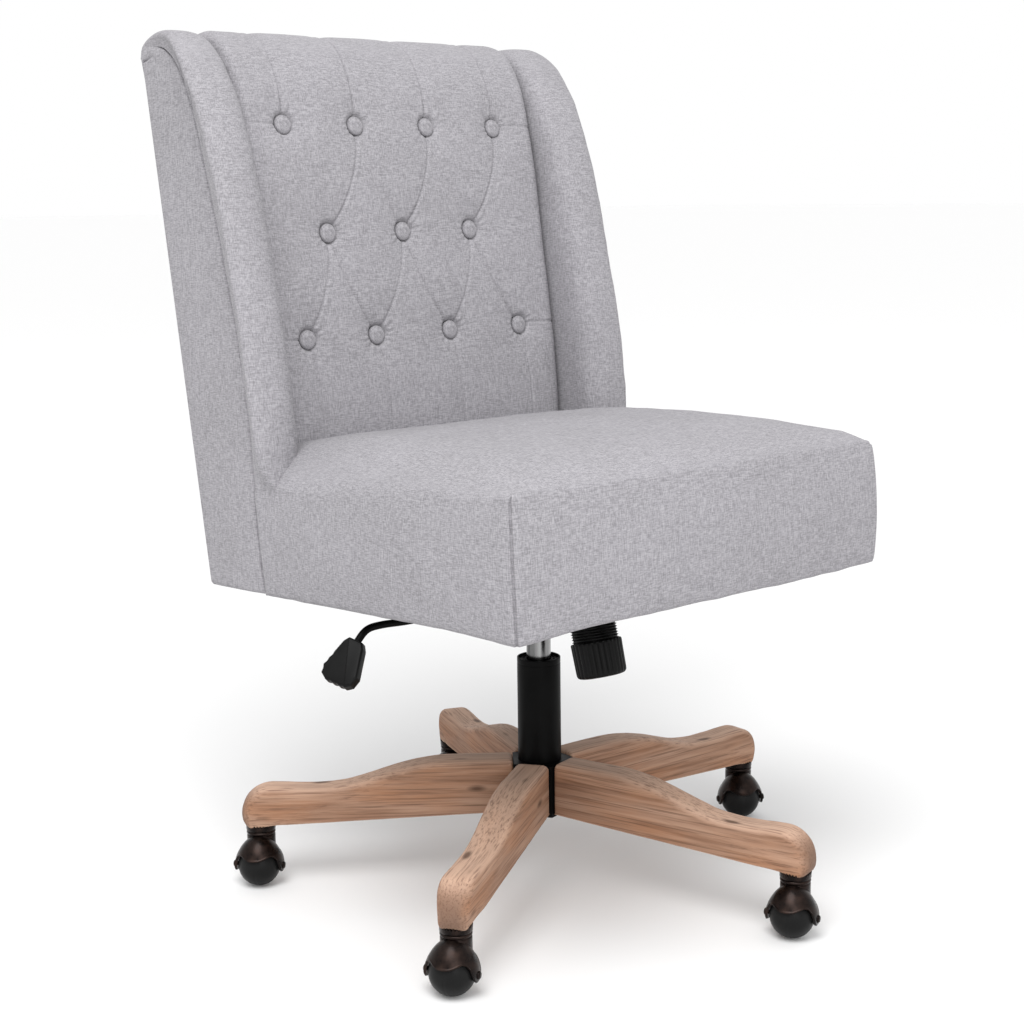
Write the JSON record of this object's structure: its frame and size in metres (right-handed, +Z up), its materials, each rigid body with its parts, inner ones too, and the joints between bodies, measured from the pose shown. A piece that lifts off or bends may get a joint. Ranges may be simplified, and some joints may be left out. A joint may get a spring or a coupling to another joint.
{
  "type": "swivel office chair",
  "caption": "Upholstered wing-back office chair with a button-tufted back, gas lift, tilting seat and a star base of wooden legs on ball casters.",
  "frame": {"origin": "on the floor, on the swivel axis, with the gas lift near its lowest setting", "axes": "+Z up along the gas column; the chair faces -Y; +X is the sitter's left"},
  "size_m": [0.6573, 0.7259, 0.9745],
  "materials": {
    "pale fabric": "woven light grey linen-look cloth",
    "washed wood": "grey-washed light brown wood, worn edges",
    "plywood": "bare plywood",
    "black steel": "black powder coat",
    "polished steel": "polished",
    "bronze": "dark bronze lacquer",
    "black plastic": "moulded",
    "black cloth": "thin black non-woven cloth",
    "spring steel": "oiled spring wire"
  },
  "bodies": {
    "base": {"base_hub": "black steel", "column_tube": "black steel", "column_bushing": "black plastic", "thrust_bearing": "polished steel", "leg_1": "washed wood", "leg_2": "washed wood", "leg_3": "washed wood", "leg_4": "washed wood", "leg_5": "washed wood", "caster_socket_1": "bronze", "caster_socket_2": "bronze", "caster_socket_3": "bronze", "caster_socket_4": "bronze", "caster_socket_5": "bronze"},
    "spindle": {"piston_rod": "polished steel"},
    "lift": {"gas_cylinder": "polished steel", "tilt_housing": "black steel", "tilt_pivot_pin": "polished steel", "tension_neck": "black plastic", "tension_spring": "spring steel"},
    "valve": {"valve_pin": "polished steel"},
    "lever_trunnion": {"lever_bush": "black plastic"},
    "lever": {"lever_rod": "black steel", "lever_grip": "black plastic"},
    "tension_carrier": {"tension_washer": "polished steel"},
    "knob": {"tension_knob": "black plastic"},
    "seat": {"seat_plate": "black steel", "dust_cover": "black cloth", "seat_board": "plywood", "seat_cushion": "pale fabric", "back_shell": "pale fabric", "back_pad": "pale fabric", "wing_left": "pale fabric", "wing_right": "pale fabric", "button_1": "pale fabric", "button_2": "pale fabric", "button_3": "pale fabric", "button_4": "pale fabric", "button_5": "pale fabric", "button_6": "pale fabric", "button_7": "pale fabric", "button_8": "pale fabric", "button_9": "pale fabric", "button_10": "pale fabric", "button_11": "pale fabric"},
    "caster_1": {"caster_hood_1": "bronze", "caster_axle_1": "bronze"},
    "ball_1": {"caster_ball_1": "black plastic"},
    "caster_2": {"caster_hood_2": "bronze", "caster_axle_2": "bronze"},
    "ball_2": {"caster_ball_2": "black plastic"},
    "caster_3": {"caster_hood_3": "bronze", "caster_axle_3": "bronze"},
    "ball_3": {"caster_ball_3": "black plastic"},
    "caster_4": {"caster_hood_4": "bronze", "caster_axle_4": "bronze"},
    "ball_4": {"caster_ball_4": "black plastic"},
    "caster_5": {"caster_hood_5": "bronze", "caster_axle_5": "bronze"},
    "ball_5": {"caster_ball_5": "black plastic"}
  },
  "joints": [
    {"name": "caster_swivel_1", "type": "hinge", "parent": "base", "child": "caster_1", "pos_m": [-0.25446, 0.20314, 0.062], "axis": [0, 0, 1], "continuous": true},
    {"name": "caster_roll_1", "type": "hinge", "parent": "caster_1", "child": "ball_1", "pos_m": [-0.26338, 0.19511, 0.0242], "axis": [0.6691, -0.7431, 0], "continuous": true},
    {"name": "caster_swivel_2", "type": "hinge", "parent": "base", "child": "caster_2", "pos_m": [-0.27183, -0.17924, 0.062], "axis": [0, 0, 1], "continuous": true},
    {"name": "caster_roll_2", "type": "hinge", "parent": "caster_2", "child": "ball_2", "pos_m": [-0.28227, -0.18515, 0.0242], "axis": [0.4924, -0.8704, 0], "continuous": true},
    {"name": "caster_swivel_3", "type": "hinge", "parent": "base", "child": "caster_3", "pos_m": [0.08647, -0.31391, 0.062], "axis": [0, 0, 1], "continuous": true},
    {"name": "caster_roll_3", "type": "hinge", "parent": "caster_3", "child": "ball_3", "pos_m": [0.07568, -0.31917, 0.0242], "axis": [0.4384, -0.8988, 0], "continuous": true},
    {"name": "caster_swivel_4", "type": "hinge", "parent": "base", "child": "caster_4", "pos_m": [0.32527, -0.01477, 0.062], "axis": [0, 0, 1], "continuous": true},
    {"name": "caster_roll_4", "type": "hinge", "parent": "caster_4", "child": "ball_4", "pos_m": [0.31855, -0.02472, 0.0242], "axis": [0.829, -0.5592, 0], "continuous": true},
    {"name": "caster_swivel_5", "type": "hinge", "parent": "base", "child": "caster_5", "pos_m": [0.11456, 0.30478, 0.062], "axis": [0, 0, 1], "continuous": true},
    {"name": "caster_roll_5", "type": "hinge", "parent": "caster_5", "child": "ball_5", "pos_m": [0.10473, 0.2979, 0.0242], "axis": [0.5736, -0.8192, 0], "continuous": true},
    {"name": "seat_swivel", "type": "hinge", "parent": "base", "child": "spindle", "pos_m": [0, 0, 0.09], "axis": [0, 0, 1], "continuous": true},
    {"name": "lift_slide", "type": "slide", "parent": "spindle", "child": "lift", "axis": [0, 0, 1], "range_m": [-0.012, 0.075]},
    {"name": "seat_tilt", "type": "hinge", "parent": "lift", "child": "seat", "pos_m": [0, -0.03, 0.337], "axis": [-1, 0, 0], "range_deg": [0, 9], "stiffness_Nm_per_rad": 250, "springref_deg": -11.46},
    {"name": "lever_lift", "type": "hinge", "parent": "lift", "child": "lever_trunnion", "pos_m": [-0.054, 0, 0.3345], "axis": [0, 1, 0], "range_deg": [0, 3], "stiffness_Nm_per_rad": 10, "springref_deg": -8.59},
    {"name": "lever_pull", "type": "slide", "parent": "lever_trunnion", "child": "lever", "axis": [-1, 0, 0], "range_m": [0, 0.012]},
    {"name": "valve_press", "type": "slide", "parent": "lift", "child": "valve", "axis": [0, 0, 1], "range_m": [-0.004, 0.0002]},
    {"name": "tension_travel", "type": "slide", "parent": "lift", "child": "tension_carrier", "axis": [0, -0.2588, -0.9659], "range_m": [-0.0061, 0.0061], "deforming": ["tension_spring"]},
    {"name": "tension_turn", "type": "hinge", "parent": "tension_carrier", "child": "knob", "pos_m": [0, -0.096, 0.298], "axis": [0, -0.2588, -0.9659], "range_deg": [-720, 720]}
  ],
  "couplings": [
    {"joint": "valve_press", "follows": "lever_lift", "m_per_rad": -0.054},
    {"joint": "tension_travel", "follows": "tension_turn", "m_per_rad": 0.00047746}
  ]
}
